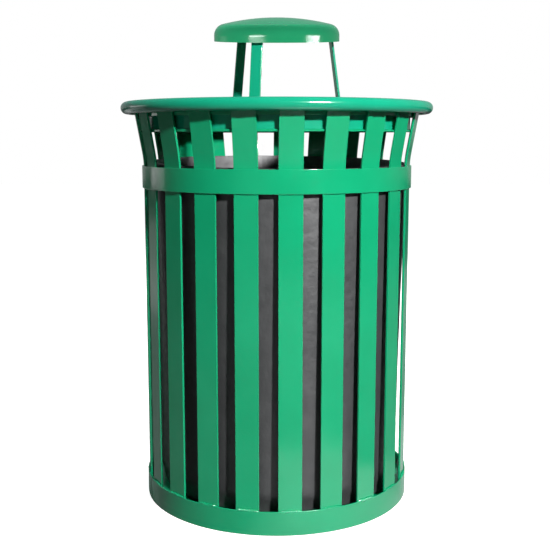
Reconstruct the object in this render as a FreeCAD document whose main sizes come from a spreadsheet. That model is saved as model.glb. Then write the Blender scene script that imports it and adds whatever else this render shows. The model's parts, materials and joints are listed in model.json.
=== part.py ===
import FreeCAD, Part
import math
import os

import Sketcher

# Slatted steel litter bin: a cylinder of flat bars on two hoops, flared at the top, with a rigid plastic
# liner and a lift-off lid under a rain cap.  Millimetres, +Z up.  The origin is on the ground at the bin's
# axis; "front" is -Y, and angles round the bin are measured from +X, as seen from above.

DIMENSIONS = {
    # Shell: two outer hoops round a ring of flat bars.
    "hoop_radius": 310.0,
    "hoop_wall": 3.2,
    "base_top": 53.0,
    "band_bottom": 722.0,
    "band_top": 772.0,
    "slat_count": 21,
    "slat_width": 50.8,
    "slat_thick": 4.8,
    "slat_face": 305.65,
    "slat_foot": 6.0,
    "slat_bend_start": 762.0,
    "slat_bend_radius": 240.0,
    "slat_flare": 10.0,
    "slat_top": 895.0,
    "slat_phase": 275.25,
    "bar_edge": 1.0,
    # Inner rings that hold the flared bars.
    "shelf_radius": 312.0,
    "shelf_bore": 302.0,
    "shelf_bottom": 847.0,
    "shelf_top": 852.0,
    "top_ring_radius": 317.8,
    "top_ring_wall": 4.8,
    "top_ring_bottom": 880.0,
    "top_ring_top": 897.0,
    # Floor plate with anchor holes, drain holes and weld nuts for the levelling feet.
    "floor_radius": 300.6,
    "floor_bottom": 30.0,
    "floor_thick": 3.0,
    "anchor_circle": 150.0,
    "anchor_bore": 6.0,
    "drain_circle": 90.0,
    "drain_bore": 8.0,
    "drain_count": 5,
    "foot_circle": 225.0,
    "foot_bore": 5.6,
    "nut_height": 12.0,
    "nut_corner": 9.8,
    "nut_bore": 5.05,
    # Levelling feet.
    "stud_radius": 4.75,
    "stud_bottom": 5.0,
    "stud_top": 32.8,
    "jack_bottom": 9.3,
    "jack_height": 4.4,
    "jack_corner": 9.8,
    "pad_radius": 19.0,
    "pad_neck": 13.0,
    "pad_height": 9.0,
    "pad_socket": 4.85,
    # Liner: tapered bucket that stands on a rim round its raised floor, with a lip at the top.
    "liner_bottom": 33.3,
    "liner_wall": 3.2,
    "liner_foot_radius": 275.0,
    "liner_foot_round": 10.0,
    "liner_dish_radius": 246.0,
    "liner_dish_slope": 8.0,
    "liner_dish_height": 12.0,
    "liner_step_bottom": 64.0,
    "liner_step_top": 68.0,
    "liner_step_radius": 277.5,
    "liner_low_radius": 280.2,
    "liner_high_radius": 291.4,
    "liner_lip_bottom": 767.0,
    "liner_lip_radius": 295.5,
    "liner_lip_round": 3.0,
    "liner_top": 780.0,
    # Lid: spun disc with a rolled rim, a locating skirt and a collar round the opening.
    "sheet": 2.0,
    "rim_centre": 342.0,
    "rim_height": 900.5,
    "rim_round": 13.5,
    "rim_curl": 30.0,
    "disc_crown": 919.0,
    "opening": 150.0,
    "skirt_radius": 305.0,
    "skirt_bottom": 852.3,
    "skirt_top": 912.9,
    "collar_wall": 2.5,
    "collar_bottom": 886.0,
    "collar_top": 916.9,
    # Rain cap: shallow dome, round shoulder, short upright edge.  It leans to the front, so rain runs off there.
    "cap_radius": 142.5,
    "cap_bottom": 1052.0,
    "cap_top": 1104.5,
    "cap_lean": 7.0,
    "dome_radius": 528.0,
    "shoulder": 26.0,
    # Legs: flat bars bolted inside the collar and held by studs under the cap.
    "leg_count": 3,
    "leg_phase": 251.0,
    "leg_width": 25.4,
    "leg_thick": 4.8,
    "leg_face": 149.4,
    "leg_foot": 887.0,
    "leg_bend_start": 913.0,
    "leg_bend_radius": 25.0,
    "leg_lean": 8.0,
    "leg_tab_round": 8.0,
    "leg_tab_length": 24.0,
    "bolt_height": 900.0,
    "bolt_radius": 3.15,
    "bolt_hole": 3.4,
    "bolt_head": 7.5,
    "bolt_head_height": 3.6,
    "bolt_length": 17.0,
    "small_nut_corner": 6.4,
    "small_nut_height": 5.5,
    "small_nut_bore": 3.2,
    "cap_stud_circle": 105.0,
    "cap_stud_length": 17.0,
    "weld_gap": 0.4,
    "tab_gap": 1.8,
}

FOOT_COUNT = 4
FOOT_PHASE = 45.0
ANCHOR_COUNT = 4
PARTS_FOLDER = "parts"

doc = FreeCAD.newDocument("litter_bin")
sheet = doc.addObject("Spreadsheet::Sheet", "Sheet")
nodes = []


def fill_sheet(sizes, first_row):
    """Writes named sizes to the sheet, one a row."""
    for row, (alias, size) in enumerate(sizes.items(), start=first_row):
        sheet.set("A%d" % row, alias)
        sheet.set("B%d" % row, str(size))
        sheet.setAlias("B%d" % row, alias)
    doc.recompute()


def number(expression):
    """Value of an expression on the sheet's cells."""
    return float(sheet.evalExpression(expression))


def turned(degrees, shift=FreeCAD.Vector()):
    """Placement that turns a piece about the bin's axis after shifting it."""
    turn = FreeCAD.Rotation(FreeCAD.Vector(0, 0, 1), degrees)
    return FreeCAD.Placement(turn.multVec(shift), turn)


def keep(piece, label):
    """Registers an object as one of the bin's named pieces."""
    piece.Label = label
    nodes.append(piece)
    return piece


def origin_plane(body, role):
    """One of a body's own origin planes."""
    return [feature for feature in body.Origin.OriginFeatures if feature.Role == role][0]


def plane_sketch(body, name, role):
    """Empty sketch on one of the body's origin planes."""
    sketch = body.newObject("Sketcher::SketchObject", name)
    sketch.AttachmentSupport = [(origin_plane(body, role), "")]
    sketch.MapMode = "FlatFace"
    return sketch


def bind(sketch, kind, geometry, point, expression):
    """Ties one coordinate of a sketch point to the sheet."""
    value = number(expression)
    if abs(value) < 1e-9 and kind == "DistanceX":
        sketch.addConstraint(Sketcher.Constraint("PointOnObject", geometry, point, -2))
        return
    index = sketch.addConstraint(Sketcher.Constraint(kind, -1, 1, geometry, point, value))
    sketch.setExpression("Constraints[%d]" % index, expression)


def outline_sketch(body, name, steps):
    """Closed outline in the XZ plane.

    Each step is a corner (x, z), then what leads on from it: nothing for a straight line, or
    (centre_x, centre_z, turn) for an arc that turns "left" or "right".
    """
    sketch = plane_sketch(body, name, "XZ_Plane")
    corners = [FreeCAD.Vector(number(step[0]), number(step[1]), 0) for step in steps]
    ends = []
    for index, step in enumerate(steps):
        start = corners[index]
        finish = corners[(index + 1) % len(steps)]
        if len(step) == 2:
            sketch.addGeometry(Part.LineSegment(start, finish), False)
            ends.append((1, 2))
            continue
        centre = FreeCAD.Vector(number(step[2]), number(step[3]), 0)
        first, last = (start, finish) if step[4] == "left" else (finish, start)
        circle = Part.Circle(centre, FreeCAD.Vector(0, 0, 1), centre.distanceToPoint(start))
        angles = [math.atan2(point.y - centre.y, point.x - centre.x) for point in (first, last)]
        if angles[1] <= angles[0]:
            angles[1] += 2 * math.pi
        sketch.addGeometry(Part.ArcOfCircle(circle, angles[0], angles[1]), False)
        ends.append((1, 2) if step[4] == "left" else (2, 1))
    for index, step in enumerate(steps):
        following = (index + 1) % len(steps)
        join = Sketcher.Constraint("Coincident", index, ends[index][1], following, ends[following][0])
        sketch.addConstraint(join)
        bind(sketch, "DistanceX", index, ends[index][0], step[0])
        bind(sketch, "DistanceY", index, ends[index][0], step[1])
    for index, step in enumerate(steps):
        if len(step) == 2:
            continue
        chord = corners[(index + 1) % len(steps)] - corners[index]
        if abs(chord.y) > abs(chord.x):
            bind(sketch, "DistanceX", index, 3, step[2])
        else:
            bind(sketch, "DistanceY", index, 3, step[3])
    return sketch


def new_body(name):
    """Empty PartDesign body."""
    return doc.addObject("PartDesign::Body", name)


def revolved(name, steps):
    """Body made by turning an outline about the bin's axis."""
    body = new_body(name)
    turning = body.newObject("PartDesign::Revolution", name + "_turning")
    turning.Profile = outline_sketch(body, name + "_outline", steps)
    turning.ReferenceAxis = (turning.Profile[0], ["V_Axis"])
    turning.Angle = 360
    body.Tip = turning
    return body


def padded(name, steps, width):
    """Body made by giving an outline in the XZ plane a width along Y."""
    body = new_body(name)
    pad = body.newObject("PartDesign::Pad", name + "_pad")
    pad.Profile = outline_sketch(body, name + "_outline", steps)
    pad.setExpression("Length", width)
    pad.Midplane = True
    body.Tip = pad
    return body


def round_edges(body, radius, wanted):
    """Fillets the edges of a body's last feature that a test picks out."""
    doc.recompute()
    base = body.Tip
    names = ["Edge%d" % index for index, edge in enumerate(base.Shape.Edges, start=1) if wanted(edge)]
    fillet = body.newObject("PartDesign::Fillet", body.Name + "_rounding")
    fillet.Base = (base, names)
    fillet.setExpression("Radius", radius)
    body.Tip = fillet


def hoop(name, bore, radius, bottom, top):
    """Upright hoop of flat bar, as a revolved rectangle."""
    return revolved(name, [(bore, bottom), (radius, bottom), (radius, top), (bore, top)])


def cylinder(name, radius, height, placement):
    """Round bar or hole tool."""
    tool = doc.addObject("Part::Cylinder", name)
    tool.setExpression("Radius", radius)
    tool.setExpression("Height", height)
    tool.Placement = placement
    return tool


def hexagon(name, corner, height, placement):
    """Hexagonal prism."""
    prism = doc.addObject("Part::Prism", name)
    prism.Polygon = 6
    prism.setExpression("Circumradius", corner)
    prism.setExpression("Height", height)
    prism.Placement = placement
    return prism


def cut(name, base, tool):
    """First solid less the second."""
    result = doc.addObject("Part::Cut", name)
    result.Base = base
    result.Tool = tool
    return result


def group(name, pieces):
    """Several identical solids that share one node."""
    bundle = doc.addObject("Part::Compound", name)
    bundle.Links = pieces
    return bundle


def nut(name, corner, height, bore, placement):
    """Hexagon nut with a plain bore."""
    blank = hexagon(name + "_blank", corner, height, placement)
    return cut(name, blank, cylinder(name + "_bore", bore, height, placement))


# ---------------------------------------------------------------------------------------------- shell

def make_hoops():
    """Base ring, middle band, lid shelf and top ring."""
    bore = "Sheet.hoop_radius - Sheet.hoop_wall"
    rings = {
        "base_ring": hoop("base_ring", bore, "Sheet.hoop_radius", "0", "Sheet.base_top"),
        "mid_band": hoop("mid_band", bore, "Sheet.hoop_radius", "Sheet.band_bottom", "Sheet.band_top"),
        "lid_shelf": hoop("lid_shelf", "Sheet.shelf_bore", "Sheet.shelf_radius",
                          "Sheet.shelf_bottom", "Sheet.shelf_top"),
        "top_ring": hoop("top_ring", "Sheet.top_ring_radius - Sheet.top_ring_wall",
                         "Sheet.top_ring_radius", "Sheet.top_ring_bottom", "Sheet.top_ring_top"),
    }
    for label, body in rings.items():
        round_edges(body, "Sheet.bar_edge", lambda edge: True)
        keep(body, label)


def slat_steps():
    """Side view of a slat: upright, then an easy bend outwards and a straight flare."""
    pivot_x = "(Sheet.slat_face + Sheet.slat_bend_radius)"
    pivot_z = "Sheet.slat_bend_start"
    bend = "Sheet.slat_bend_radius"
    inner_bend = "(Sheet.slat_bend_radius + Sheet.slat_thick)"
    sine = "sin(Sheet.slat_flare)"
    cosine = "cos(Sheet.slat_flare)"
    run = "(Sheet.slat_top - %s - %s * %s) / %s" % (pivot_z, bend, sine, cosine)
    tip_x = "%s - %s * %s + %s * %s" % (pivot_x, bend, cosine, run, sine)
    return [
        ("Sheet.slat_face", "Sheet.slat_foot"),
        ("Sheet.slat_face", pivot_z, pivot_x, pivot_z, "right"),
        ("%s - %s * %s" % (pivot_x, bend, cosine), "%s + %s * %s" % (pivot_z, bend, sine)),
        (tip_x, "Sheet.slat_top"),
        (tip_x + " - Sheet.slat_thick * " + cosine, "Sheet.slat_top + Sheet.slat_thick * " + sine),
        ("%s - %s * %s" % (pivot_x, inner_bend, cosine), "%s + %s * %s" % (pivot_z, inner_bend, sine),
         pivot_x, pivot_z, "left"),
        ("Sheet.slat_face - Sheet.slat_thick", pivot_z),
        ("Sheet.slat_face - Sheet.slat_thick", "Sheet.slat_foot"),
    ]


def make_slats():
    """Flat bars round the shell, evenly spaced."""
    half_width = number("Sheet.slat_width / 2")
    for index in range(int(number("Sheet.slat_count"))):
        label = "slat_%02d" % (index + 1)
        body = padded(label, slat_steps(), "Sheet.slat_width")
        round_edges(body, "Sheet.bar_edge", lambda edge: abs(abs(edge.CenterOfMass.y) - half_width) < 0.01)
        body.Placement = turned(number("Sheet.slat_phase + %d * 360 / Sheet.slat_count" % index))
        keep(body, label)


def drill(body, name, circle, bore, count):
    """Ring of holes through the floor plate."""
    sketch = plane_sketch(body, name + "_sketch", "XY_Plane")
    sketch.addGeometry(Part.Circle(FreeCAD.Vector(number(circle), 0, 0), FreeCAD.Vector(0, 0, 1),
                                   number(bore)), False)
    sketch.addConstraint(Sketcher.Constraint("PointOnObject", 0, 3, -1))
    bind(sketch, "DistanceX", 0, 3, circle)
    index = sketch.addConstraint(Sketcher.Constraint("Radius", 0, number(bore)))
    sketch.setExpression("Constraints[%d]" % index, bore)
    pocket = body.newObject("PartDesign::Pocket", name)
    pocket.Profile = sketch
    pocket.Type = 1
    pocket.Reversed = True
    body.Tip = pocket
    if count == 1:
        return sketch
    pattern = body.newObject("PartDesign::PolarPattern", name + "_ring")
    pattern.Originals = [pocket]
    pattern.Axis = (sketch, ["N_Axis"])
    pattern.Angle = 360
    pattern.Occurrences = count
    body.Tip = pattern
    return sketch


def make_floor():
    """Floor plate with its holes, and the weld nuts under the foot holes."""
    body = new_body("floor_plate")
    disc = plane_sketch(body, "floor_disc", "XY_Plane")
    disc.addGeometry(Part.Circle(FreeCAD.Vector(), FreeCAD.Vector(0, 0, 1), number("Sheet.floor_radius")), False)
    disc.addConstraint(Sketcher.Constraint("Coincident", 0, 3, -1, 1))
    index = disc.addConstraint(Sketcher.Constraint("Radius", 0, number("Sheet.floor_radius")))
    disc.setExpression("Constraints[%d]" % index, "Sheet.floor_radius")
    pad = body.newObject("PartDesign::Pad", "floor_pad")
    pad.Profile = disc
    pad.setExpression("Length", "Sheet.floor_thick")
    body.Tip = pad
    doc.recompute()
    solid_volume = body.Shape.Volume
    anchors = drill(body, "anchor_holes", "Sheet.anchor_circle", "Sheet.anchor_bore", ANCHOR_COUNT)
    anchors.AttachmentOffset = turned(FOOT_PHASE)
    feet = drill(body, "foot_holes", "Sheet.foot_circle", "Sheet.foot_bore", FOOT_COUNT)
    feet.AttachmentOffset = turned(FOOT_PHASE)
    drill(body, "drain_holes", "Sheet.drain_circle", "Sheet.drain_bore", int(number("Sheet.drain_count")))
    doc.recompute()
    holes = "pi * Sheet.floor_thick * (%d * Sheet.anchor_bore ^ 2 + %d * Sheet.foot_bore ^ 2" \
        " + Sheet.drain_count * Sheet.drain_bore ^ 2)" % (ANCHOR_COUNT, FOOT_COUNT)
    drilled = solid_volume - body.Shape.Volume
    if abs(drilled - number(holes)) > 1:
        raise RuntimeError("floor plate holes took %.1f mm3, not %.1f" % (drilled, number(holes)))
    body.setExpression("Placement.Base.z", "Sheet.floor_bottom")
    keep(body, "floor_plate")
    below = number("Sheet.floor_bottom - Sheet.nut_height")
    nuts = []
    for index in range(FOOT_COUNT):
        spot = turned(FOOT_PHASE + 90 * index, FreeCAD.Vector(number("Sheet.foot_circle"), 0, below))
        nuts.append(nut("foot_nut_%d" % (index + 1), "Sheet.nut_corner", "Sheet.nut_height",
                        "Sheet.nut_bore", spot))
    keep(group("foot_nuts", nuts), "foot_nuts")


def make_feet():
    """Levelling feet: a threaded stud with a jacking hexagon, standing in a round pad."""
    for index in range(FOOT_COUNT):
        angle = FOOT_PHASE + 90 * index
        circle = number("Sheet.foot_circle")
        at_stud = turned(angle, FreeCAD.Vector(circle, 0, number("Sheet.stud_bottom")))
        at_jack = turned(angle, FreeCAD.Vector(circle, 0, number("Sheet.jack_bottom")))
        at_floor = turned(angle, FreeCAD.Vector(circle, 0, 0))
        stem = cylinder("foot_stem_%d" % (index + 1), "Sheet.stud_radius",
                        "Sheet.stud_top - Sheet.stud_bottom", at_stud)
        jack = hexagon("foot_jack_%d" % (index + 1), "Sheet.jack_corner", "Sheet.jack_height", at_jack)
        stud = doc.addObject("Part::Fuse", "foot_stud_%d" % (index + 1))
        stud.Base = stem
        stud.Tool = jack
        keep(stud, "foot_stud_%d" % (index + 1))
        puck = doc.addObject("Part::Cone", "foot_puck_%d" % (index + 1))
        puck.setExpression("Radius1", "Sheet.pad_radius")
        puck.setExpression("Radius2", "Sheet.pad_neck")
        puck.setExpression("Height", "Sheet.pad_height")
        puck.Placement = at_floor
        socket = cylinder("foot_socket_%d" % (index + 1), "Sheet.pad_socket",
                          "Sheet.pad_height", at_stud)
        keep(cut("foot_pad_%d" % (index + 1), puck, socket), "foot_pad_%d" % (index + 1))


# ---------------------------------------------------------------------------------------------- liner

def make_liner():
    """Tapered plastic bucket: raised floor, a step near the bottom, a lip turned out at the top."""
    wall = "Sheet.liner_wall"
    foot = "Sheet.liner_foot_radius"
    bottom = "Sheet.liner_bottom"
    fillet = "Sheet.liner_foot_round"
    lip = "Sheet.liner_lip_radius"
    lip_round = "Sheet.liner_lip_round"
    top = "Sheet.liner_top"
    dish = "Sheet.liner_dish_radius"
    dish_top = "(Sheet.liner_bottom + Sheet.liner_dish_height)"
    keep(revolved("liner", [
        ("0", dish_top),
        (dish + " - Sheet.liner_dish_slope", dish_top),
        (dish, bottom),
        (foot + " - " + fillet, bottom, foot + " - " + fillet, bottom + " + " + fillet, "left"),
        (foot, bottom + " + " + fillet),
        ("Sheet.liner_step_radius", "Sheet.liner_step_bottom"),
        ("Sheet.liner_low_radius", "Sheet.liner_step_top"),
        ("Sheet.liner_high_radius", "Sheet.liner_lip_bottom"),
        (lip + " - 1", "Sheet.liner_lip_bottom"),
        (lip, "Sheet.liner_lip_bottom + 1"),
        (lip, top + " - " + lip_round, lip + " - " + lip_round, top + " - " + lip_round, "left"),
        (lip + " - " + lip_round, top),
        ("Sheet.liner_high_radius - " + wall + " + 1.5", top),
        ("Sheet.liner_high_radius - " + wall, top + " - 1.5"),
        ("Sheet.liner_low_radius - " + wall, "Sheet.liner_step_top + 0.4"),
        ("Sheet.liner_step_radius - " + wall, "Sheet.liner_step_bottom + 0.4"),
        (foot + " - " + wall, bottom + " + " + fillet,
         foot + " - " + fillet, bottom + " + " + fillet, "right"),
        (foot + " - " + fillet, bottom + " + " + wall),
        (dish + " + " + wall + " / 2", bottom + " + " + wall),
        (dish + " - Sheet.liner_dish_slope + " + wall + " / 2", dish_top + " + " + wall),
        ("0", dish_top + " + " + wall),
    ]), "liner")


# ---------------------------------------------------------------------------------------------- lid

def make_lid():
    """Spun lid disc with its rolled rim, the skirt below it and the collar round its opening."""
    centre = "Sheet.rim_centre"
    height = "Sheet.rim_height"
    outer = "Sheet.rim_round"
    inner = "(Sheet.rim_round - Sheet.sheet)"
    curl = "Sheet.rim_curl"
    keep(revolved("lid_shell", [
        ("Sheet.opening", "Sheet.disc_crown"),
        (centre, "%s + %s" % (height, outer), centre, height, "right"),
        ("%s - %s * sin(%s)" % (centre, outer, curl), "%s - %s * cos(%s)" % (height, outer, curl)),
        ("%s - %s * sin(%s)" % (centre, inner, curl), "%s - %s * cos(%s)" % (height, inner, curl),
         centre, height, "left"),
        (centre, "%s + %s" % (height, inner)),
        ("Sheet.opening", "Sheet.disc_crown - Sheet.sheet"),
    ]), "lid_shell")
    keep(hoop("lid_skirt", "Sheet.skirt_radius - Sheet.sheet", "Sheet.skirt_radius",
              "Sheet.skirt_bottom", "Sheet.skirt_top"), "lid_skirt")
    ring = hoop("collar_ring", "Sheet.opening", "Sheet.opening + Sheet.collar_wall",
                "Sheet.collar_bottom", "Sheet.collar_top")
    drills = [bolt_tool("collar_drill_%d" % (index + 1), leg_angle(index)) for index in leg_indexes()]
    keep(cut("lid_collar", ring, group("collar_drills", drills)), "lid_collar")


def make_cap():
    """Rain cap: domed sheet with a round shoulder and a short upright edge."""
    dome = "Sheet.dome_radius"
    shoulder = "Sheet.shoulder"
    radius = "Sheet.cap_radius"
    sheet_thick = "Sheet.sheet"
    dome_z = "(Sheet.cap_top - %s)" % dome
    shoulder_x = "(%s - %s)" % (radius, shoulder)
    reach = "(%s - %s)" % (dome, shoulder)
    rise = "sqrt(%s ^ 2 - %s ^ 2)" % (reach, shoulder_x)
    shoulder_z = "(%s + %s)" % (dome_z, rise)
    meet_x = "%s * %s / %s"
    meet_z = "%s + %s * %s / %s"
    inside = "(%s - %s)" % (dome, sheet_thick)
    cap = keep(revolved("rain_cap", [
        ("0", dome_z + " + " + dome, "0", dome_z, "right"),
        (meet_x % (shoulder_x, dome, reach), meet_z % (dome_z, rise, dome, reach),
         shoulder_x, shoulder_z, "right"),
        (radius, shoulder_z),
        (radius, "Sheet.cap_bottom"),
        (radius + " - " + sheet_thick, "Sheet.cap_bottom"),
        (radius + " - " + sheet_thick, shoulder_z, shoulder_x, shoulder_z, "left"),
        (meet_x % (shoulder_x, inside, reach), meet_z % (dome_z, rise, inside, reach),
         "0", dome_z, "left"),
        ("0", dome_z + " + " + inside),
    ]), "rain_cap")
    pivot = FreeCAD.Vector(0, 0, number("Sheet.cap_bottom"))
    lean = FreeCAD.Rotation(FreeCAD.Vector(1, 0, 0), number("Sheet.cap_lean"))
    cap.Placement = FreeCAD.Placement(FreeCAD.Vector(), lean, pivot)


# ---------------------------------------------------------------------------------------------- legs

def leg_indexes():
    """Counts the legs."""
    return range(int(number("Sheet.leg_count")))


def leg_angle(index):
    """Direction of a leg round the bin."""
    return number("Sheet.leg_phase + %d * 360 / Sheet.leg_count" % index)


def dome_section(degrees):
    """Underside of the leaning dome in a leg's plane: its arc's centre, radius and slope at the stud."""
    drop = number("Sheet.cap_bottom - Sheet.cap_top + Sheet.dome_radius")
    lean = math.radians(number("Sheet.cap_lean"))
    back = drop * math.sin(lean)
    centre_x = back * math.sin(math.radians(degrees))
    centre_z = number("Sheet.cap_bottom") - drop * math.cos(lean)
    aside = back * math.cos(math.radians(degrees))
    radius = math.sqrt(number("Sheet.dome_radius - Sheet.sheet") ** 2 - aside ** 2)
    slope = math.asin((number("Sheet.cap_stud_circle") - centre_x) / radius)
    return centre_x, centre_z, radius, slope


def leg_sizes(index):
    """Tab tilt and shoulder height that bring a leg's tab square under the dome."""
    centre_x, centre_z, radius, slope = dome_section(leg_angle(index))
    lean = math.radians(number("Sheet.leg_lean"))
    bend = number("Sheet.leg_bend_radius + Sheet.leg_thick")
    turn = number("Sheet.leg_tab_round + Sheet.leg_thick")
    foot_x = number("Sheet.leg_face") - bend + bend * math.cos(lean)
    foot_z = number("Sheet.leg_bend_start") + bend * math.sin(lean)
    reach = centre_x * math.sin(slope) + centre_z * math.cos(slope) + radius - number("Sheet.tab_gap") - turn
    run = (reach - math.sin(slope) * (foot_x - turn * math.cos(lean))
           - math.cos(slope) * (foot_z - turn * math.sin(lean))) / math.cos(slope + lean)
    return {"leg_%d_tilt" % (index + 1): math.degrees(slope),
            "leg_%d_shoulder" % (index + 1): foot_z + run * math.cos(lean)}


def leg_steps(index):
    """Side view of a leg: upright foot, inward lean, then a tab that follows the cap's underside."""
    face = "Sheet.leg_face"
    thick = "Sheet.leg_thick"
    lean = "Sheet.leg_lean"
    tilt = "Sheet.leg_%d_tilt" % (index + 1)
    shoulder = "Sheet.leg_%d_shoulder" % (index + 1)
    low_x = "(%s - %s - Sheet.leg_bend_radius)" % (face, thick)
    low_z = "Sheet.leg_bend_start"
    low_out = "(Sheet.leg_bend_radius + %s)" % thick
    low_in = "Sheet.leg_bend_radius"
    out_x = "(%s + %s * cos(%s))" % (low_x, low_out, lean)
    out_z = "(%s + %s * sin(%s))" % (low_z, low_out, lean)
    high_out = "(Sheet.leg_tab_round + %s)" % thick
    high_in = "Sheet.leg_tab_round"
    turn_x = "(%s - (%s - %s) * tan(%s))" % (out_x, shoulder, out_z, lean)
    high_x = "(%s - %s * cos(%s))" % (turn_x, high_out, lean)
    high_z = "(%s - %s * sin(%s))" % (shoulder, high_out, lean)
    tab_x = "(%s + %%s * sin(%s))" % (high_x, tilt)
    tab_z = "(%s + %%s * cos(%s))" % (high_z, tilt)
    end_x = tab_x + " - Sheet.leg_tab_length * cos(%s)" % tilt
    end_z = tab_z + " + Sheet.leg_tab_length * sin(%s)" % tilt
    return [
        (face + " - " + thick, "Sheet.leg_foot"),
        (face, "Sheet.leg_foot"),
        (face, low_z, low_x, low_z, "left"),
        (out_x, out_z),
        (turn_x, shoulder, high_x, high_z, "left"),
        (tab_x % high_out, tab_z % high_out),
        (end_x % high_out, end_z % high_out),
        (end_x % high_in, end_z % high_in),
        (tab_x % high_in, tab_z % high_in, high_x, high_z, "right"),
        ("%s + %s * cos(%s)" % (high_x, high_in, lean), "%s + %s * sin(%s)" % (high_z, high_in, lean)),
        ("%s + %s * cos(%s)" % (low_x, low_in, lean), "%s + %s * sin(%s)" % (low_z, low_in, lean),
         low_x, low_z, "right"),
        (face + " - " + thick, low_z),
    ]


def radial(degrees, radius, height):
    """Placement whose Z axis points away from the bin's axis."""
    outward = FreeCAD.Placement(FreeCAD.Vector(radius, 0, height),
                                FreeCAD.Rotation(FreeCAD.Vector(0, 1, 0), 90))
    return turned(degrees).multiply(outward)


def under_dome(degrees, drop):
    """Placement under the cap at a leg's stud, in the leg's plane, its Z axis pointing down off the dome."""
    centre_x, centre_z, radius, slope = dome_section(degrees)
    reach = radius - drop
    spot = FreeCAD.Vector(centre_x + reach * math.sin(slope), 0, centre_z + reach * math.cos(slope))
    down = FreeCAD.Rotation(FreeCAD.Vector(0, 1, 0), 180 + math.degrees(slope))
    return turned(degrees).multiply(FreeCAD.Placement(spot, down))


def bolt_tool(name, degrees):
    """Drill for a leg bolt, through the leg's foot and the collar."""
    start = number("Sheet.leg_face - 2 * Sheet.leg_thick")
    return cylinder(name, "Sheet.bolt_hole", "4 * Sheet.leg_thick",
                    radial(degrees, start, number("Sheet.bolt_height")))


def make_legs():
    """Cap legs, each drilled at its foot and at its tab."""
    half_width = number("Sheet.leg_width / 2")
    for index in leg_indexes():
        label = "cap_leg_%d" % (index + 1)
        angle = leg_angle(index)
        fill_sheet(leg_sizes(index), len(DIMENSIONS) + 1 + 2 * index)
        bar = padded(label + "_bar", leg_steps(index), "Sheet.leg_width")
        round_edges(bar, "Sheet.bar_edge", lambda edge: abs(abs(edge.CenterOfMass.y) - half_width) < 0.01)
        bar.Placement = turned(angle)
        drills = [
            bolt_tool(label + "_foot_drill", angle),
            cylinder(label + "_tab_drill", "Sheet.bolt_hole", "4 * Sheet.leg_thick", under_dome(angle, 0)),
        ]
        keep(cut(label, bar, group(label + "_drills", drills)), label)


def make_leg_bolt(index):
    """Round-headed bolt through a leg's foot, head towards the opening."""
    body = revolved("leg_bolt_%d" % (index + 1), [
        ("0", "0 - Sheet.bolt_head_height"),
        ("Sheet.bolt_head * 0.55", "0 - Sheet.bolt_head_height"),
        ("Sheet.bolt_head", "0 - Sheet.bolt_head_height * 0.35"),
        ("Sheet.bolt_head", "0"),
        ("Sheet.bolt_radius", "0"),
        ("Sheet.bolt_radius", "Sheet.bolt_length"),
        ("0", "Sheet.bolt_length"),
    ])
    seat = number("Sheet.leg_face - Sheet.leg_thick")
    body.Placement = radial(leg_angle(index), seat, number("Sheet.bolt_height"))
    return body


def make_fasteners():
    """Leg bolts with their nuts, and the cap's weld studs with theirs."""
    keep(group("leg_bolts", [make_leg_bolt(index) for index in leg_indexes()]), "leg_bolts")
    outside = number("Sheet.opening + Sheet.collar_wall")
    small = ("Sheet.small_nut_corner", "Sheet.small_nut_height", "Sheet.small_nut_bore")
    weld_gap = number("Sheet.weld_gap")
    tab_face = number("Sheet.leg_thick + Sheet.tab_gap")
    foot_nuts = []
    studs = []
    tab_nuts = []
    for index in leg_indexes():
        angle = leg_angle(index)
        spot = radial(angle, outside, number("Sheet.bolt_height"))
        foot_nuts.append(nut("leg_nut_%d" % (index + 1), *small, spot))
        studs.append(cylinder("cap_stud_%d" % (index + 1), "Sheet.bolt_radius", "Sheet.cap_stud_length",
                              under_dome(angle, weld_gap)))
        tab_nuts.append(nut("cap_nut_%d" % (index + 1), *small, under_dome(angle, tab_face)))
    keep(group("leg_nuts", foot_nuts), "leg_nuts")
    keep(group("cap_studs", studs), "cap_studs")
    keep(group("cap_nuts", tab_nuts), "cap_nuts")


def check_and_write():
    """Stops on any failed object, then writes each piece to its own file."""
    doc.recompute()
    for item in doc.Objects:
        if "Invalid" in item.State or "Error" in item.State:
            raise RuntimeError("%s did not compute: %s" % (item.Name, item.State))
    for piece in nodes:
        if piece.Shape.isNull() or not piece.Shape.isValid() or not piece.Shape.Solids:
            raise RuntimeError("%s has no valid solid" % piece.Label)
    os.makedirs(PARTS_FOLDER, exist_ok=True)
    for piece in nodes:
        piece.Shape.exportStep(os.path.join(PARTS_FOLDER, piece.Label + ".step"))
    print("wrote %d pieces" % len(nodes))


fill_sheet(DIMENSIONS, 1)
make_hoops()
make_slats()
make_floor()
make_feet()
make_liner()
make_lid()
make_cap()
make_legs()
make_fasteners()
check_and_write()
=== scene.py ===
import json
import math

import bpy
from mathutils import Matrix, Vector, noise


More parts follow.
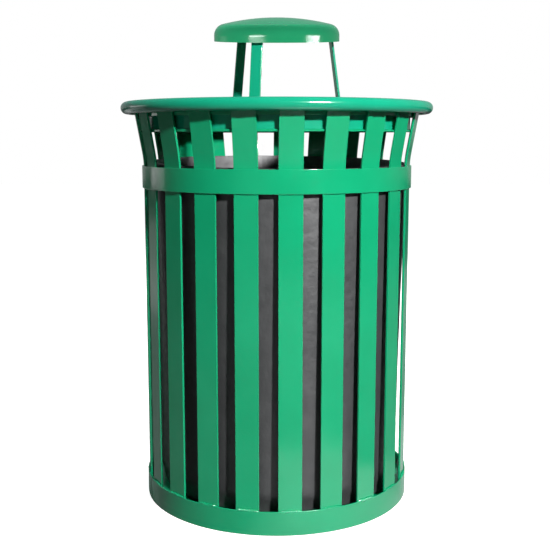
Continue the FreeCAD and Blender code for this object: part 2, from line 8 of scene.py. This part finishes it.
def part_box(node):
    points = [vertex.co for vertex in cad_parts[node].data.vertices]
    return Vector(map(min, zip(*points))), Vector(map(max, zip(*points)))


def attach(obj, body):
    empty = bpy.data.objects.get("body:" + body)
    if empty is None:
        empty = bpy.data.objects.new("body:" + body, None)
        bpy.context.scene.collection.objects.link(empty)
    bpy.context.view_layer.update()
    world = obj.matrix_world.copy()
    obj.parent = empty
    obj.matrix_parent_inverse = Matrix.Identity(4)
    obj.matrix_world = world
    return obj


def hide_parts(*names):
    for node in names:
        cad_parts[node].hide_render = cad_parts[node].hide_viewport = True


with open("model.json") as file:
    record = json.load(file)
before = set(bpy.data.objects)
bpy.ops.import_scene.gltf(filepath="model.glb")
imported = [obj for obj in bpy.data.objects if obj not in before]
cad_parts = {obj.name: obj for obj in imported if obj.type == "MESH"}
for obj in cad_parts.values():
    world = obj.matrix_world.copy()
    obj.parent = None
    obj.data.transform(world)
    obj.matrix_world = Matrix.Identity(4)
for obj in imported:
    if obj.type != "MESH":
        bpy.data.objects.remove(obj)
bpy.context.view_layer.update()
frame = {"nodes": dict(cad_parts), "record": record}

# Litter bin: green powder-coated slats, hoops, lid and rain cap over a dark plastic liner.
# Metres, in the CAD frame: the bin's axis is Z and the front is -Y.

UP = Vector((0, 0, 1))

SLATS = sorted(name for name in frame["nodes"] if name.startswith("slat_"))
LEGS = sorted(name for name in frame["nodes"] if name.startswith("cap_leg_"))
FEET = sorted(name for name in frame["nodes"] if name.startswith("foot_stud_"))


# ------------------------------------------------------------------------------------------ mesh tools

class Bag:
    """Collects vertices and faces for one mesh."""

    def __init__(self):
        self.verts = []
        self.faces = []

    def tube(self, path, radii, sides=8):
        """Closed round rod along a path of points, with a radius at each."""
        first = len(self.verts)
        side = None
        for index, point in enumerate(path):
            ahead = path[min(index + 1, len(path) - 1)] - path[max(index - 1, 0)]
            ahead.normalize()
            if side is None:
                side = ahead.orthogonal().normalized()
            side = (side - ahead * side.dot(ahead)).normalized()
            up = ahead.cross(side)
            for turn in range(sides):
                angle = 2 * math.pi * turn / sides
                spoke = side * math.cos(angle) + up * math.sin(angle)
                self.verts.append(point + spoke * radii[index])
        for index in range(len(path) - 1):
            low = first + index * sides
            for turn in range(sides):
                after = (turn + 1) % sides
                self.faces.append((low + turn, low + after, low + sides + after, low + sides + turn))
        last = first + (len(path) - 1) * sides
        self.faces.append(tuple(first + turn for turn in reversed(range(sides))))
        self.faces.append(tuple(last + turn for turn in range(sides)))

    def piece(self, name, sharp=math.radians(50)):
        """Makes the object."""
        mesh = bpy.data.meshes.new(name)
        mesh.from_pydata([tuple(vert) for vert in self.verts], [], self.faces)
        mesh.update()
        mesh.shade_smooth()
        mesh.set_sharp_from_angle(angle=sharp)
        piece = bpy.data.objects.new(name, mesh)
        bpy.context.scene.collection.objects.link(piece)
        return piece


def polar(radius, angle, height):
    """Point at an angle round the bin's axis."""
    return Vector((radius * math.cos(angle), radius * math.sin(angle), height))


def direction(name):
    """Angle at which a node stands round the bin's axis."""
    total = Vector((0, 0, 0))
    for vert in frame["nodes"][name].data.vertices:
        total += vert.co
    return math.atan2(total.y, total.x)


def dress(piece, body, slot):
    """Gives a new piece its finish and the body that it rides on."""
    piece.data.materials.append(MATERIALS[slot])
    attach(piece, body)
    return piece


# ------------------------------------------------------------------------------------------ materials

class Nodes:
    """Short hand for building a node tree."""

    def __init__(self, name):
        self.material = bpy.data.materials.new(name)
        self.material.use_nodes = True
        self.tree = self.material.node_tree
        self.shader = self.tree.nodes["Principled BSDF"]
        coordinates = self.add("ShaderNodeTexCoord").outputs
        self.place = coordinates["Object"]
        self.facing = coordinates["Normal"]

    def add(self, kind, **settings):
        node = self.tree.nodes.new(kind)
        for key, value in settings.items():
            setattr(node, key, value)
        return node

    def link(self, source, target):
        self.tree.links.new(source, target)

    def noise(self, scale, detail=3.0, roughness=0.5, stretch=None):
        node = self.add("ShaderNodeTexNoise")
        node.inputs["Scale"].default_value = scale
        node.inputs["Detail"].default_value = detail
        node.inputs["Roughness"].default_value = roughness
        source = self.place
        if stretch:
            mapping = self.add("ShaderNodeMapping")
            mapping.inputs["Scale"].default_value = stretch
            self.link(self.place, mapping.inputs["Vector"])
            source = mapping.outputs["Vector"]
        self.link(source, node.inputs["Vector"])
        return node.outputs["Fac"]

    def ramp(self, source, low, high, from_value=0.0, to_value=1.0):
        node = self.add("ShaderNodeMapRange")
        node.inputs["From Min"].default_value = low
        node.inputs["From Max"].default_value = high
        node.inputs["To Min"].default_value = from_value
        node.inputs["To Max"].default_value = to_value
        self.link(source, node.inputs["Value"])
        return node.outputs["Result"]

    def maths(self, operation, first, second):
        node = self.add("ShaderNodeMath", operation=operation)
        for index, value in enumerate((first, second)):
            if isinstance(value, (int, float)):
                node.inputs[index].default_value = value
            else:
                self.link(value, node.inputs[index])
        return node.outputs["Value"]

    def mix(self, factor, first, second):
        """Mixed colour: inputs 0, 6 and 7 are the factor and the two colours, output 2 the result."""
        node = self.add("ShaderNodeMix", data_type="RGBA")
        for socket, value in ((node.inputs[0], factor), (node.inputs[6], first), (node.inputs[7], second)):
            if isinstance(value, (tuple, float)):
                socket.default_value = value
            else:
                self.link(value, socket)
        return node.outputs[2]

    def bump(self, height, strength, distance, under=None):
        node = self.add("ShaderNodeBump")
        node.inputs["Strength"].default_value = strength
        node.inputs["Distance"].default_value = distance
        self.link(height, node.inputs["Height"])
        if under is not None:
            self.link(under, node.inputs["Normal"])
        return node.outputs["Normal"]


LOOKING_UP = (0.93, 0.99)
DULL_ROUGHNESS = 0.3


def green_coat(name, thin, thick, speck, gloss=0.5, dulled=0.0):
    """Glossy powder coat: orange peel, faint uneven thickness, a little dust and rubbed patches.

    Rain and dust have taken the share `dulled` of the gloss off the faces that look up.
    """
    n = Nodes(name)
    cloud = n.ramp(n.noise(9.0, 4.0, 0.55), 0.3, 0.7)
    colour = n.mix(cloud, thin, thick)
    fleck = n.ramp(n.noise(900.0, 2.0), 0.62, 0.80, 0.0, 0.22)
    colour = n.mix(fleck, colour, speck)
    rub = n.ramp(n.noise(38.0, 5.0, 0.62), 0.56, 0.72)
    n.link(colour, n.shader.inputs["Base Color"])
    roughness = n.ramp(n.noise(60.0, 4.0), 0.3, 0.7, 0.12, 0.17)
    roughness = n.maths("ADD", roughness, n.maths("MULTIPLY", rub, 0.06))
    n.shader.inputs["Specular IOR Level"].default_value = gloss
    if dulled:
        facing = n.add("ShaderNodeSeparateXYZ")
        n.link(n.facing, facing.inputs["Vector"])
        rise = facing.outputs["Z"]
        roughness = n.maths("ADD", roughness, n.ramp(rise, *LOOKING_UP, 0.0, DULL_ROUGHNESS * dulled))
        specular = n.ramp(rise, *LOOKING_UP, gloss, gloss * (1 - dulled))
        n.link(specular, n.shader.inputs["Specular IOR Level"])
    n.link(roughness, n.shader.inputs["Roughness"])
    peel = n.bump(n.noise(420.0, 2.0, 0.45), 0.14, 0.0006)
    waves = n.bump(n.noise(20.0, 2.0), 0.10, 0.004, peel)
    n.link(waves, n.shader.inputs["Normal"])
    return n.material


def liner_plastic(name, dark, pale, scuffed, scuff_most):
    """Moulded plastic: satin, mottled, with fine grain and scuffs that run down the wall."""
    n = Nodes(name)
    cloud = n.ramp(n.noise(14.0, 5.0, 0.6), 0.3, 0.7)
    colour = n.mix(cloud, dark, pale)
    scuff = n.ramp(n.noise(30.0, 6.0, 0.7, stretch=(1.0, 1.0, 0.08)), 0.56, 0.74, 0.0, scuff_most)
    colour = n.mix(scuff, colour, scuffed)
    n.link(colour, n.shader.inputs["Base Color"])
    roughness = n.ramp(n.noise(70.0, 5.0, 0.6), 0.3, 0.7, 0.38, 0.54)
    n.link(roughness, n.shader.inputs["Roughness"])
    grain = n.bump(n.noise(1300.0, 2.0), 0.22, 0.0003)
    dents = n.bump(n.noise(34.0, 3.0, 0.5), 0.30, 0.005, grain)
    n.link(dents, n.shader.inputs["Normal"])
    return n.material


def zinc():
    """Bright zinc plating on the fasteners."""
    n = Nodes("fastener_zinc")
    spangle = n.ramp(n.noise(500.0, 3.0), 0.35, 0.65)
    colour = n.mix(spangle, (0.42, 0.43, 0.43, 1), (0.60, 0.60, 0.58, 1))
    n.link(colour, n.shader.inputs["Base Color"])
    n.shader.inputs["Metallic"].default_value = 1.0
    n.link(n.ramp(n.noise(300.0, 4.0), 0.3, 0.7, 0.28, 0.46), n.shader.inputs["Roughness"])
    n.link(n.bump(n.noise(900.0, 3.0), 0.15, 0.0002), n.shader.inputs["Normal"])
    return n.material


def foot_rubber():
    """Black rubber of the levelling pads."""
    n = Nodes("foot_rubber")
    dust = n.ramp(n.noise(120.0, 5.0, 0.6), 0.45, 0.75, 0.0, 0.4)
    n.link(n.mix(dust, (0.016, 0.016, 0.017, 1), (0.06, 0.058, 0.054, 1)), n.shader.inputs["Base Color"])
    n.link(n.ramp(n.noise(200.0, 3.0), 0.3, 0.7, 0.62, 0.82), n.shader.inputs["Roughness"])
    n.link(n.bump(n.noise(1500.0, 2.0), 0.3, 0.0003), n.shader.inputs["Normal"])
    return n.material


MATERIALS = {
    "green_coat": green_coat("green_coat", (0.0036, 0.290, 0.124, 1), (0.0050, 0.322, 0.142, 1),
                             (0.015, 0.36, 0.17, 1)),
    "liner_plastic": liner_plastic("liner_plastic", (0.030, 0.0305, 0.032, 1), (0.043, 0.0435, 0.045, 1),
                                   (0.060, 0.061, 0.064, 1), 0.5),
    "fastener_zinc": zinc(),
    "foot_rubber": foot_rubber(),
}

# Looks of their own within the same material slots, all three painted light: the liner's inside is a
# paler, lit copy of the plastic, the lid's coat is tinted blue as a painted sky reflection, and the cap's
# coat is darkened as painted shade.
LINER_INSIDE_PAINTED_LIGHT = liner_plastic("liner_inside_painted_light", (0.084, 0.082, 0.086, 1), (0.120, 0.118, 0.122, 1),
                             (0.200, 0.200, 0.203, 1), 0.8)
# Bluer green than the body's coat: a painted reflection of a blue sky on the lid, its rim and the cap's
# legs.
LID_COAT_PAINTED_SKY = green_coat("green_coat_lid_painted_sky", (0.0040, 0.286, 0.156, 1), (0.0060, 0.318, 0.180, 1),
                      (0.016, 0.36, 0.21, 1), dulled=0.97)
# Darker green than the body's coat: painted shade, since the cap is meant to look less lit than the bin.
CAP_COAT_PAINTED_SHADE = green_coat("green_coat_cap_painted_shade", (0.0095, 0.172, 0.073, 1), (0.0120, 0.194, 0.084, 1),
                      (0.020, 0.25, 0.11, 1), gloss=0.20)
# Parts that take the painted-light coats in place of their slot's green.
PAINTED_LIGHT_COATS = {"lid_shell": LID_COAT_PAINTED_SKY, "lid_skirt": LID_COAT_PAINTED_SKY, "lid_collar": LID_COAT_PAINTED_SKY, "rain_cap": CAP_COAT_PAINTED_SHADE}
PAINTED_LIGHT_COATS.update({name: LID_COAT_PAINTED_SKY for name in LEGS})

for subpart in frame["record"]["subparts"]:
    node = frame["nodes"][subpart["node"]]
    node.data.materials.clear()
    node.data.materials.append(PAINTED_LIGHT_COATS.get(subpart["node"], MATERIALS[subpart["material_slot"]]))


# ------------------------------------------------------------------------------------------ liner

LINER_WALL = 0.0032
LINER_FOOT = 0.275
LINER_FOOT_ROUND = 0.010
LINER_DISH = 0.246
LINER_DISH_SLOPE = 0.008
LINER_DISH_HEIGHT = 0.012
LINER_STEP = (0.064, 0.068)
LINER_STEP_RADII = (0.2775, 0.2802)
LINER_HIGH = 0.2914
LINER_LIP_HEIGHT = 0.013
LINER_LIP_ROUND = 0.003
LINER_EDGE_ROUND = 0.002
LINER_LEAN_FRONT = 0.0244
LINER_LEAN_SIDE = -0.0091
LINER_SHIFT = 0.0042
LINER_OVAL = 0.0011
LINER_RIPPLE = 0.0006
LINER_DENT = 0.0011
LINER_SEGMENTS = 192
LINER_ROW = 0.018


def arc(centre_x, centre_z, radius, start, finish, steps):
    """Points of an arc in an outline; angles in degrees from +X."""
    angles = [math.radians(start + (finish - start) * step / steps) for step in range(steps + 1)]
    return [(centre_x + radius * math.cos(angle), centre_z + radius * math.sin(angle)) for angle in angles]


def filled_in(outline, spacing):
    """The outline with points added along its long straight runs."""
    points = []
    for start, finish in zip(outline, outline[1:]):
        count = max(1, round(math.dist(start, finish) / spacing))
        for step in range(count):
            share = step / count
            points.append((start[0] + (finish[0] - start[0]) * share,
                           start[1] + (finish[1] - start[1]) * share))
    return points + [outline[-1]]


def liner_outlines():
    """Outer and inner outlines of the liner, from the middle of its floor to its lip."""
    low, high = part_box("liner")
    bottom = low[2]
    top = high[2]
    lip = high[0]
    dish_top = bottom + LINER_DISH_HEIGHT
    foot_x = LINER_FOOT - LINER_FOOT_ROUND
    foot_z = bottom + LINER_FOOT_ROUND
    lip_low = top - LINER_LIP_HEIGHT
    outer = [(0.0, dish_top), (LINER_DISH - LINER_DISH_SLOPE, dish_top), (LINER_DISH, bottom)]
    outer += arc(foot_x, foot_z, LINER_FOOT_ROUND, -90, 0, 6)
    outer += [(LINER_STEP_RADII[0], LINER_STEP[0]), (LINER_STEP_RADII[1], LINER_STEP[1])]
    outer += arc(LINER_HIGH + LINER_EDGE_ROUND, lip_low - LINER_EDGE_ROUND, LINER_EDGE_ROUND, 180, 90, 4)
    outer += arc(lip - LINER_LIP_ROUND, lip_low + LINER_LIP_ROUND, LINER_LIP_ROUND, -90, 0, 4)
    outer += arc(lip - LINER_LIP_ROUND, top - LINER_LIP_ROUND, LINER_LIP_ROUND, 0, 90, 5)
    inside = LINER_HIGH - LINER_WALL
    inner = [(0.0, dish_top + LINER_WALL)]
    inner += [(LINER_DISH - LINER_DISH_SLOPE + LINER_WALL / 2, dish_top + LINER_WALL)]
    inner += [(LINER_DISH + LINER_WALL / 2, bottom + LINER_WALL)]
    inner += arc(foot_x, foot_z, LINER_FOOT_ROUND - LINER_WALL, -90, 0, 5)
    inner += [(radius - LINER_WALL, height) for radius, height in zip(LINER_STEP_RADII, LINER_STEP)]
    inner += arc(inside + LINER_EDGE_ROUND, top - LINER_EDGE_ROUND, LINER_EDGE_ROUND, 180, 90, 4)
    return filled_in(outer, LINER_ROW), filled_in(inner, LINER_ROW)


def liner_point(radius, angle, height, bottom, top):
    """Point of the liner, which stands a little to the right, with its lean, ovality and dents.

    The lean and the ovality grow from nothing at the foot to their full size at the lip.
    """
    share = min(max((height - bottom) / (top - bottom), 0.0), 1.0)
    loose = share * share * (3 - 2 * share)
    wave = LINER_OVAL * math.sin(2 * angle + 0.7) + LINER_RIPPLE * math.sin(5 * angle + 2.1)
    dent = noise.noise(polar(1.9, angle, height * 4.5)) * LINER_DENT
    if radius > LINER_DISH:
        radius += loose * wave + min(1.0, 6 * share) * dent
    point = polar(radius, angle, height)
    point.z += loose * (LINER_LEAN_FRONT * point.y + LINER_LEAN_SIDE * point.x)
    point.x += LINER_SHIFT
    return point


def make_liner():
    """Thin-walled bucket turned from the two outlines, joined round the lip."""
    low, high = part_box("liner")
    outer, inner = liner_outlines()
    outline = outer + inner[::-1]
    bag = Bag()
    rows = []
    for radius, height in outline:
        count = 1 if radius == 0 else LINER_SEGMENTS
        rows.append([len(bag.verts) + turn for turn in range(count)])
        for turn in range(count):
            angle = 2 * math.pi * turn / LINER_SEGMENTS
            bag.verts.append(liner_point(radius, angle, height, low[2], high[2]))
    for first, second in zip(rows, rows[1:]):
        for turn in range(LINER_SEGMENTS):
            after = (turn + 1) % LINER_SEGMENTS
            if len(first) == 1:
                bag.faces.append((first[0], second[after], second[turn]))
            elif len(second) == 1:
                bag.faces.append((first[turn], first[after], second[0]))
            else:
                bag.faces.append((first[turn], first[after], second[after], second[turn]))
    piece = dress(bag.piece("liner_bucket", math.radians(35)), "liner", "liner_plastic")
    # The inside gets the paler copy of the plastic: painted light on the inner wall.
    piece.data.materials.append(LINER_INSIDE_PAINTED_LIGHT)
    outside_faces = LINER_SEGMENTS * (len(outer) - 1)
    for face in piece.data.polygons:
        face.material_index = 1 if face.index >= outside_faces else 0
    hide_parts("liner")


# ------------------------------------------------------------------------------------------ welds, threads

# Beads: radius, ripple, and how far a bead's line stands off the edge that it runs along.
BEAD = 0.0017
BASE_BEAD = 0.0026
RIPPLE = 0.0036
RIPPLE_DEPTH = 0.15
BEAD_UNEVEN = 0.30
SHOWS = 0.0006

# Upright beads in the corners between slats and hoops, and the beads' widths along the rings.
HOOP_TO_BORE = 0.0036
SLAT_HALF = 0.0254
CORNER_BEAD = 0.026
CORNER_FEET = (0.012, 0.734)
BASE_BEAD_WIDTH = 0.048
RING_BEAD_WIDTH = 0.034
PLATE_BEAD_WIDTH = 0.030

# Stitches inside the lid.
LID_STITCHES = 12
COLLAR_STITCH = 0.030
SKIRT_STITCH = 0.036
SKIRT_WALL = 0.0026
STITCH_DROP = 0.0012

THREAD_SIDES = 6
THREAD_STEPS = 18
THREAD_RIDGE = 0.36
FOOT_THREAD_LOW = 0.0139
BOLT_THREAD_START = 0.1582


def weld(bag, start, finish, size=BEAD, bulge=None):
    """Rippled weld bead between two points, thin at its ends.

    With a bulge, which is a radius, it follows an arc round the bin's axis.
    """
    length = (finish - start).length
    steps = max(6, round(4 * length / RIPPLE))
    path = []
    radii = []
    for step in range(steps + 1):
        share = step / steps
        point = start.lerp(finish, share)
        if bulge:
            point = polar(bulge, math.atan2(point.y, point.x), point.z)
        end = min(1.0, 5 * share + 0.25, 5 * (1 - share) + 0.25)
        ripple = 1 + RIPPLE_DEPTH * math.cos(math.pi * step / 2)
        uneven = 1 + BEAD_UNEVEN * noise.noise(point * 160)
        path.append(point)
        radii.append(size * end * ripple * uneven)
    bag.tube(path, radii)


def weld_round(bag, radius, height, middle, width, size=BEAD):
    """Bead of a given width along a hoop, centred on an angle."""
    half = width / 2 / radius
    weld(bag, polar(radius, middle - half, height), polar(radius, middle + half, height), size, radius)


def make_shell_welds():
    """Beads that hold the bars to the hoops, the shelf, the top ring and the floor plate."""
    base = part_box("base_ring")
    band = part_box("mid_band")
    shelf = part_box("lid_shelf")
    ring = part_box("top_ring")
    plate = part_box("floor_plate")
    bore = band[1][0] - HOOP_TO_BORE
    bag = Bag()
    for name in SLATS:
        angle = direction(name)
        outward = polar(1, angle, 0)
        across = polar(1, angle + math.pi / 2, 0)
        for side in (-1, 1):
            edge = outward * bore + across * side * (SLAT_HALF + SHOWS)
            for foot in CORNER_FEET:
                weld(bag, edge + UP * foot, edge + UP * (foot + CORNER_BEAD))
        weld_round(bag, bore + 0.0010, base[1][2], angle, BASE_BEAD_WIDTH, BASE_BEAD)
        weld_round(bag, shelf[1][0] - SHOWS, shelf[0][2], angle, RING_BEAD_WIDTH)
        weld_round(bag, ring[1][0] - SHOWS, ring[0][2], angle, RING_BEAD_WIDTH)
        weld_round(bag, plate[1][0] - 0.0002, plate[1][2], angle, PLATE_BEAD_WIDTH)
    dress(bag.piece("shell_welds"), "can_body", "green_coat")


def make_lid_welds():
    """Stitches inside the lid, along its collar and its skirt."""
    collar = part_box("lid_collar")
    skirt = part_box("lid_skirt")
    bag = Bag()
    for index in range(LID_STITCHES):
        angle = 2 * math.pi * (index + 0.5) / LID_STITCHES
        weld_round(bag, collar[1][0] + SHOWS, collar[1][2] - STITCH_DROP, angle, COLLAR_STITCH)
        weld_round(bag, skirt[1][0] - SKIRT_WALL, skirt[1][2] - STITCH_DROP, angle, SKIRT_STITCH)
    dress(bag.piece("lid_welds"), "lid", "green_coat")


def thread(bag, start, along, radius, pitch, length):
    """Ridge that winds round a plain stud and runs out at both ends."""
    side = along.orthogonal().normalized()
    up = along.cross(side)
    steps = round(THREAD_STEPS * length / pitch)
    path = []
    radii = []
    for step in range(steps + 1):
        angle = 2 * math.pi * step / THREAD_STEPS
        spoke = side * math.cos(angle) + up * math.sin(angle)
        path.append(start + along * (pitch * step / THREAD_STEPS) + spoke * radius)
        radii.append(THREAD_RIDGE * pitch * min(1.0, (step + 1) / 6, (steps - step + 1) / 6))
    bag.tube(path, radii, THREAD_SIDES)


def make_threads():
    """Threads on the levelling studs and on the ends of the leg bolts."""
    for name in FEET:
        low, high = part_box(name)
        foot = Vector(((low[0] + high[0]) / 2, (low[1] + high[1]) / 2, FOOT_THREAD_LOW))
        bag = Bag()
        thread(bag, foot, UP, radius=0.0045, pitch=0.0015, length=0.0185)
        number = name.rsplit("_", 1)[1]
        dress(bag.piece("foot_thread_" + number), "foot_" + number, "fastener_zinc")
    bag = Bag()
    low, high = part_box("leg_bolts")
    height = (low[2] + high[2]) / 2
    for name in LEGS:
        outward = polar(1, direction(name), 0)
        start = outward * BOLT_THREAD_START + UP * height
        thread(bag, start, outward, radius=0.0029, pitch=0.0010, length=0.0030)
    dress(bag.piece("leg_bolt_threads"), "lid", "fastener_zinc")


make_liner()
make_shell_welds()
make_lid_welds()
make_threads()


# ------------------------------------------------------------------------------------------ stage

FLOOR_HALF = 14.0

# Edges of the floor's painted pool of light, which glows only in reflections: where each starts to fade in
# or out, and where it has done so.
PATCH_LEFT = (-0.10, 0.05)
PATCH_RIGHT = (0.50, 0.58)
PATCH_FRONT = (-0.88, -0.78)
PATCH_BACK = (-0.26, -0.08)

# Lamps by what they act on.
SOFT_LAMPS = ("key", "fill", "top", "back", "back_left", "cap_top")
MIRROR_LAMPS = ("glint", "card", "strip", "sparks")
CAP_LAMPS = ("cap_left", "cap_right", "cap_top")
NOT_ON_CAP = ("key", "glint", "top")

LAMP_REACH = 4.2
MIDDLE = Vector((0, 0, 0.62))
CAP_MIDDLE = Vector((0, 0, 1.07))

CAMERA_PLACE = (-0.004, -2.1656, 0.8377)
CAMERA_PITCH = math.radians(8.53)
SENSOR = 36.0
LENS = 60.545


def pale_floor():
    """White floor. Reflections see it dim, with a painted pool of light in front of the bin and to its
    right that glows only in reflections.
    """
    bag = Bag()
    corners = [(-1, -1), (1, -1), (1, 1), (-1, 1)]
    bag.verts = [Vector((x * FLOOR_HALF, y * FLOOR_HALF, 0)) for x, y in corners]
    bag.faces = [(0, 1, 2, 3)]
    floor = bag.piece("floor")
    n = Nodes("floor")
    ray = n.add("ShaderNodeLightPath")
    n.link(n.mix(ray.outputs["Is Glossy Ray"], (0.66, 0.63, 0.60, 1), (0.20, 0.20, 0.20, 1)),
           n.shader.inputs["Base Color"])
    n.shader.inputs["Roughness"].default_value = 0.9
    n.shader.inputs["Specular IOR Level"].default_value = 0.1
    n.shader.inputs["Emission Color"].default_value = (1, 1, 1, 1)
    distance = n.add("ShaderNodeVectorMath", operation="LENGTH")
    n.link(n.place, distance.inputs[0])
    split = n.add("ShaderNodeSeparateXYZ")
    n.link(n.place, split.inputs["Vector"])
    # Painted pool of light on the floor, seen only in reflections.
    patch = n.ramp(split.outputs["X"], *PATCH_LEFT, 0.12, 1.4)
    for axis, edge, outside in (("X", PATCH_RIGHT, 0.0), ("Y", PATCH_BACK, 0.25)):
        patch = n.maths("MULTIPLY", patch, n.ramp(split.outputs[axis], *edge, 1.0, outside))
    patch = n.maths("MULTIPLY", patch, n.ramp(split.outputs["Y"], *PATCH_FRONT))
    pale = n.ramp(distance.outputs["Value"], 0.5, 3.0, 0.86, 1.0)
    seen = n.maths("MULTIPLY", ray.outputs["Is Camera Ray"], pale)
    mirrored = n.maths("MULTIPLY", ray.outputs["Is Glossy Ray"], patch)
    n.link(n.maths("ADD", seen, mirrored), n.shader.inputs["Emission Strength"])
    floor.data.materials.append(n.material)
    floor.visible_diffuse = False


def studio_world():
    """White to the camera; as light, a dim room in front, brighter behind and bluish above."""
    world = bpy.data.worlds.new("studio")
    bpy.context.scene.world = world
    world.use_nodes = True
    tree = world.node_tree
    view = tree.nodes.new("ShaderNodeTexCoord")
    split = tree.nodes.new("ShaderNodeSeparateXYZ")
    tree.links.new(view.outputs["Generated"], split.inputs["Vector"])
    behind = tree.nodes.new("ShaderNodeMapRange")
    for name, value in (("From Min", -0.35), ("From Max", 0.45), ("To Min", 0.08), ("To Max", 0.32)):
        behind.inputs[name].default_value = value
    tree.links.new(split.outputs["Y"], behind.inputs["Value"])
    tint = tree.nodes.new("ShaderNodeMix")
    tint.data_type = "RGBA"
    tint.inputs[6].default_value = (1.0, 1.0, 1.0, 1)
    tint.inputs[7].default_value = (0.50, 0.78, 1.0, 1)
    tree.links.new(split.outputs["Z"], tint.inputs[0])
    light = tree.nodes["Background"]
    tree.links.new(tint.outputs[2], light.inputs["Color"])
    ray = tree.nodes.new("ShaderNodeLightPath")
    softened = tree.nodes.new("ShaderNodeMapRange")
    softened.inputs["To Min"].default_value = 1.0
    softened.inputs["To Max"].default_value = 0.30
    tree.links.new(ray.outputs["Is Diffuse Ray"], softened.inputs["Value"])
    strength = tree.nodes.new("ShaderNodeMath")
    strength.operation = "MULTIPLY"
    tree.links.new(behind.outputs["Result"], strength.inputs[0])
    tree.links.new(softened.outputs["Result"], strength.inputs[1])
    tree.links.new(strength.outputs["Value"], light.inputs["Strength"])
    white = tree.nodes.new("ShaderNodeBackground")
    white.inputs["Color"].default_value = (1, 1, 1, 1)
    choose = tree.nodes.new("ShaderNodeMixShader")
    tree.links.new(ray.outputs["Is Camera Ray"], choose.inputs["Fac"])
    tree.links.new(light.outputs["Background"], choose.inputs[1])
    tree.links.new(white.outputs["Background"], choose.inputs[2])
    tree.links.new(choose.outputs["Shader"], tree.nodes["World Output"].inputs["Surface"])


def area_light(name, place, target, size, power, colour=(1, 1, 1)):
    """Soft light, wide by high, aimed at a point."""
    light = bpy.data.lights.new(name, "AREA")
    light.shape = "RECTANGLE"
    light.size, light.size_y = size
    light.energy = power
    light.color = colour
    lamp = bpy.data.objects.new(name, light)
    lamp.location = place
    lamp.rotation_euler = (Vector(target) - Vector(place)).to_track_quat("-Z", "Y").to_euler()
    lamp.visible_camera = False
    bpy.context.scene.collection.objects.link(lamp)
    return lamp


def heading(turn, rise):
    """Unit vector at degrees to the right of the front and degrees above level."""
    turn = math.radians(turn)
    rise = math.radians(rise)
    return Vector((math.cos(rise) * math.sin(turn), -math.cos(rise) * math.cos(turn), math.sin(rise)))


def link_lights(lamps, piece, state):
    """Makes lamps light one object only (INCLUDE) or everything but that object (EXCLUDE)."""
    receivers = bpy.data.collections.new(piece.name + "_" + state.lower())
    receivers.objects.link(piece)
    receivers.collection_objects[0].light_linking.link_state = state
    for name in lamps:
        bpy.data.objects[name].light_linking.receiver_collection = receivers


def studio_lights():
    """Key from the front right with faint fills, three lamps for the cap alone, and mirrored lights."""
    area_light("key", MIDDLE + LAMP_REACH * heading(28.0, 25.0), MIDDLE, (0.26, 0.26), 300)
    area_light("fill", (-0.9, -2.9, 0.15), MIDDLE, (1.6, 1.6), 9)
    area_light("top", (0.0, 0.3, 4.5), (0, 0, 0), (3.0, 3.0), 70, (0.80, 0.92, 1.0))
    area_light("back", (1.2, 3.6, 1.9), MIDDLE, (1.6, 1.6), 110)
    area_light("back_left", (-2.6, 2.9, 1.5), MIDDLE, (1.6, 1.6), 60)
    area_light("glint", MIDDLE + LAMP_REACH * heading(29.5, 25.0), MIDDLE, (0.30, 0.26), 700)
    area_light("cap_left", CAP_MIDDLE + LAMP_REACH * heading(-36.0, -1.0), CAP_MIDDLE, (2.0, 0.65), 250)
    area_light("cap_right", CAP_MIDDLE + LAMP_REACH * heading(68.0, -1.0), CAP_MIDDLE, (1.9, 0.65), 280)
    area_light("cap_top", (0.0, 1.8, 3.5), CAP_MIDDLE, (1.2, 1.2), 340)
    area_light("sparks", MIDDLE + LAMP_REACH * heading(18.0, 30.0), MIDDLE, (0.75, 0.45), 900)
    area_light("card", (-1.9, 1.7, 0.2), (0, 0, 0.2), (2.4, 0.5), 1.3)
    area_light("strip", (-2.48, 1.05, 0.86), (0, 0, 0.86), (1.05, 0.56), 2.5)
    for name in SOFT_LAMPS:
        bpy.data.objects[name].visible_glossy = False
    for name in MIRROR_LAMPS:
        bpy.data.objects[name].visible_diffuse = False
    rain_cap = frame["nodes"]["rain_cap"]
    link_lights(NOT_ON_CAP, rain_cap, "EXCLUDE")
    link_lights(CAP_LAMPS, rain_cap, "INCLUDE")
    link_lights(("sparks",), bpy.data.objects["shell_welds"], "INCLUDE")


def make_camera():
    """Camera at the front, a little below the lid's height and looking slightly down."""
    data = bpy.data.cameras.new("camera")
    data.sensor_width = SENSOR
    data.lens = LENS
    data.clip_end = 60.0
    camera = bpy.data.objects.new("camera", data)
    camera.location = CAMERA_PLACE
    camera.rotation_euler = (math.pi / 2 - CAMERA_PITCH, 0, 0)
    bpy.context.scene.collection.objects.link(camera)
    bpy.context.scene.camera = camera


pale_floor()
studio_world()
studio_lights()
make_camera()
bpy.context.scene.view_settings.view_transform = "Standard"
